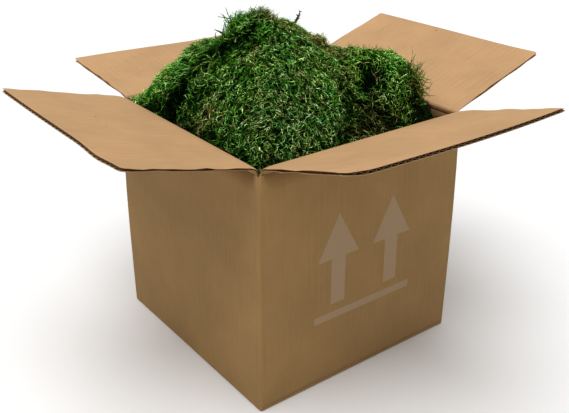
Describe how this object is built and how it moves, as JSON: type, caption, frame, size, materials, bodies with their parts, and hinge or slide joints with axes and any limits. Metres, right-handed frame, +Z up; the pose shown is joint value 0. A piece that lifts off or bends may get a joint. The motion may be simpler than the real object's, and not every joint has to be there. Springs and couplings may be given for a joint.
{
  "type": "preserved sheet moss in an open carton",
  "caption": "Sheets of preserved green moss heaped high in an open corrugated cube carton with its top flaps folded out.",
  "frame": {"origin": "middle of the carton's underside, where it rests", "axes": "+Z up, -Y out of the carton's front wall, +X out of its right wall"},
  "size_m": [0.5191, 0.5147, 0.3745],
  "materials": {
    "kraft_board_outside": "matte kraft liner with faint flute lines",
    "kraft_board_inside": "matte paler kraft liner with washboard lines and open flutes at the cut edges",
    "moss_mid_green": "matte curled shoots, mid green with pale and tan strands",
    "moss_bright_green": "matte combed shoots, fresh green",
    "moss_dark_green": "matte upright shoots, deep green",
    "moss_olive_brown": "matte shoots, olive and brown"
  },
  "bodies": {
    "root": {"carton_body": "kraft_board_outside", "moss_packed_1": "moss_olive_brown", "moss_packed_2": "moss_olive_brown", "moss_packed_3": "moss_olive_brown", "moss_packed_4": "moss_olive_brown", "moss_packed_5": "moss_olive_brown", "moss_sheet_lower": "moss_olive_brown", "moss_sheet_centre": "moss_mid_green", "moss_sheet_left": "moss_bright_green", "moss_sheet_right": "moss_bright_green", "moss_sheet_crest": "moss_dark_green"},
    "front_flap": {"flap_front": "kraft_board_inside"},
    "right_flap": {"flap_right": "kraft_board_inside"},
    "back_flap": {"flap_back": "kraft_board_inside"},
    "left_flap": {"flap_left": "kraft_board_inside"}
  },
  "joints": [
    {"name": "front_crease", "type": "hinge", "parent": "root", "child": "front_flap", "pos_m": [0, -0.1312, 0.262], "axis": [-1, 0, 0], "range_deg": [-93.9, 76.1]},
    {"name": "right_crease", "type": "hinge", "parent": "root", "child": "right_flap", "pos_m": [0.1312, 0, 0.262], "axis": [0, -1, 0], "range_deg": [-96.9, 73.1]},
    {"name": "back_crease", "type": "hinge", "parent": "root", "child": "back_flap", "pos_m": [0, 0.1312, 0.262], "axis": [1, 0, 0], "range_deg": [-98.4, 71.6]},
    {"name": "left_crease", "type": "hinge", "parent": "root", "child": "left_flap", "pos_m": [-0.1312, 0, 0.262], "axis": [0, 1, 0], "range_deg": [-85.4, 84.6]}
  ]
}
